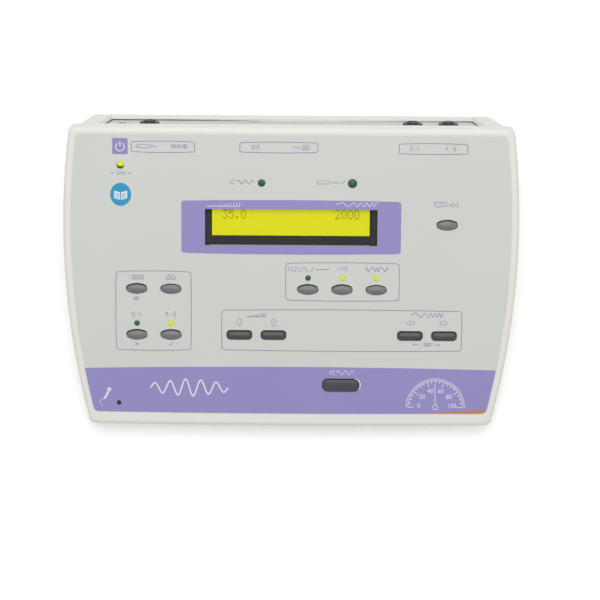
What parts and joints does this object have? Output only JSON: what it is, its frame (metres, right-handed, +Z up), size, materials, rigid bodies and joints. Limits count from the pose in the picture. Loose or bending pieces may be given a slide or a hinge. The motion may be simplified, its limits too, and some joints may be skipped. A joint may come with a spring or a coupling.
{
  "type": "audiometer",
  "caption": "Desk hearing-test instrument: wedge housing, sloping printed face with recessed display, push keys, lamps and microphone, rear socket panel, battery bay.",
  "frame": {"origin": "on the desk, under the middle of the bounding box", "axes": "+X to the user's right, +Y to the rear with the sockets, +Z up"},
  "size_m": [0.27, 0.187, 0.06],
  "materials": {
    "cover_plastic": "fine satin moulded",
    "base_plastic": "fine satin moulded",
    "overlay_film": "matt printed film",
    "panel_plastic": "fine satin moulded",
    "foot_rubber": "matt",
    "window_clear": "clear polished",
    "display_metal": "black satin",
    "display_yellow": "backlit glass",
    "backlight_white": "translucent",
    "board_green": "solder mask",
    "chip_black": "moulded",
    "header_black": "moulded",
    "cable_grey": "smooth",
    "switch_black": "moulded",
    "microphone_metal": "satin",
    "socket_black": "moulded",
    "nut_black": "satin",
    "socket_metal": "plated",
    "knob_grey": "moulded",
    "screw_steel": "zinc plated",
    "cell_wrap": "printed sleeve",
    "spring_steel": "nickel plated",
    "lamp_yellow": "lit",
    "lamp_green": "clear tinted, unlit",
    "key_grey": "matt domed",
    "key_dark": "matt domed"
  },
  "bodies": {
    "housing": {"answer_lamp": "lamp_green", "base_shell": "base_plastic", "battery_cells": "cell_wrap", "battery_contacts": "spring_steel", "battery_springs": "spring_steel", "board_chips": "chip_black", "board_headers": "header_black", "board_screws": "screw_steel", "boost_lamp": "lamp_yellow", "case_screws": "screw_steel", "display_backlight": "backlight_white", "display_board": "board_green", "display_frame": "display_metal", "display_glass": "display_yellow", "display_window": "window_clear", "flat_cable": "cable_grey", "front_overlay": "overlay_film", "jack_nuts": "nut_black", "key_switches": "switch_black", "keypad_board": "board_green", "left_jack": "socket_black", "left_lamp": "lamp_green", "main_board": "board_green", "microphone": "microphone_metal", "power_inlet": "socket_black", "power_lamp": "lamp_yellow", "power_switch": "switch_black", "printer_socket": "socket_black", "pulse_lamp": "lamp_green", "rear_panel": "panel_plastic", "response_jack": "socket_black", "right_jack": "socket_black", "right_lamp": "lamp_yellow", "rubber_feet": "foot_rubber", "tone_lamp": "lamp_green", "top_cover": "cover_plastic", "usb_socket": "socket_metal", "warble_lamp": "lamp_yellow"},
    "menu_key": {"menu_key": "key_grey"},
    "print_key": {"print_key": "key_grey"},
    "left_key": {"left_key": "key_grey"},
    "right_key": {"right_key": "key_grey"},
    "pulse_key": {"pulse_key": "key_grey"},
    "boost_key": {"boost_key": "key_grey"},
    "warble_key": {"warble_key": "key_grey"},
    "talk_key": {"talk_key": "key_grey"},
    "level_down_key": {"level_down_key": "key_dark"},
    "level_up_key": {"level_up_key": "key_dark"},
    "pitch_down_key": {"pitch_down_key": "key_dark"},
    "pitch_up_key": {"pitch_up_key": "key_dark"},
    "tone_key": {"tone_key": "key_dark"},
    "power_knob": {"power_knob": "knob_grey"},
    "battery_door": {"battery_door": "base_plastic"}
  },
  "joints": [
    {"name": "menu_press", "type": "slide", "parent": "housing", "child": "menu_key", "axis": [0, 0.2079, -0.9781], "range_m": [0, 0.0008], "stiffness_N_per_m": 1200},
    {"name": "print_press", "type": "slide", "parent": "housing", "child": "print_key", "axis": [0, 0.2079, -0.9781], "range_m": [0, 0.0008], "stiffness_N_per_m": 1200},
    {"name": "left_press", "type": "slide", "parent": "housing", "child": "left_key", "axis": [0, 0.2079, -0.9781], "range_m": [0, 0.0008], "stiffness_N_per_m": 1200},
    {"name": "right_press", "type": "slide", "parent": "housing", "child": "right_key", "axis": [0, 0.2079, -0.9781], "range_m": [0, 0.0008], "stiffness_N_per_m": 1200},
    {"name": "pulse_press", "type": "slide", "parent": "housing", "child": "pulse_key", "axis": [0, 0.2079, -0.9781], "range_m": [0, 0.0008], "stiffness_N_per_m": 1200},
    {"name": "boost_press", "type": "slide", "parent": "housing", "child": "boost_key", "axis": [0, 0.2079, -0.9781], "range_m": [0, 0.0008], "stiffness_N_per_m": 1200},
    {"name": "warble_press", "type": "slide", "parent": "housing", "child": "warble_key", "axis": [0, 0.2079, -0.9781], "range_m": [0, 0.0008], "stiffness_N_per_m": 1200},
    {"name": "talk_press", "type": "slide", "parent": "housing", "child": "talk_key", "axis": [0, 0.2079, -0.9781], "range_m": [0, 0.0008], "stiffness_N_per_m": 1200},
    {"name": "level_down_press", "type": "slide", "parent": "housing", "child": "level_down_key", "axis": [0, 0.2079, -0.9781], "range_m": [0, 0.0008], "stiffness_N_per_m": 1200},
    {"name": "level_up_press", "type": "slide", "parent": "housing", "child": "level_up_key", "axis": [0, 0.2079, -0.9781], "range_m": [0, 0.0008], "stiffness_N_per_m": 1200},
    {"name": "pitch_down_press", "type": "slide", "parent": "housing", "child": "pitch_down_key", "axis": [0, 0.2079, -0.9781], "range_m": [0, 0.0008], "stiffness_N_per_m": 1200},
    {"name": "pitch_up_press", "type": "slide", "parent": "housing", "child": "pitch_up_key", "axis": [0, 0.2079, -0.9781], "range_m": [0, 0.0008], "stiffness_N_per_m": 1200},
    {"name": "tone_press", "type": "slide", "parent": "housing", "child": "tone_key", "axis": [0, 0.2079, -0.9781], "range_m": [0, 0.0008], "stiffness_N_per_m": 1200},
    {"name": "power_slide", "type": "slide", "parent": "housing", "child": "power_knob", "axis": [1, 0, 0], "range_m": [0, 0.004]},
    {"name": "battery_door_swing", "type": "hinge", "parent": "housing", "child": "battery_door", "pos_m": [0, -0.01447, 0.0025], "axis": [-1, 0, 0], "range_deg": [0, 80]}
  ]
}
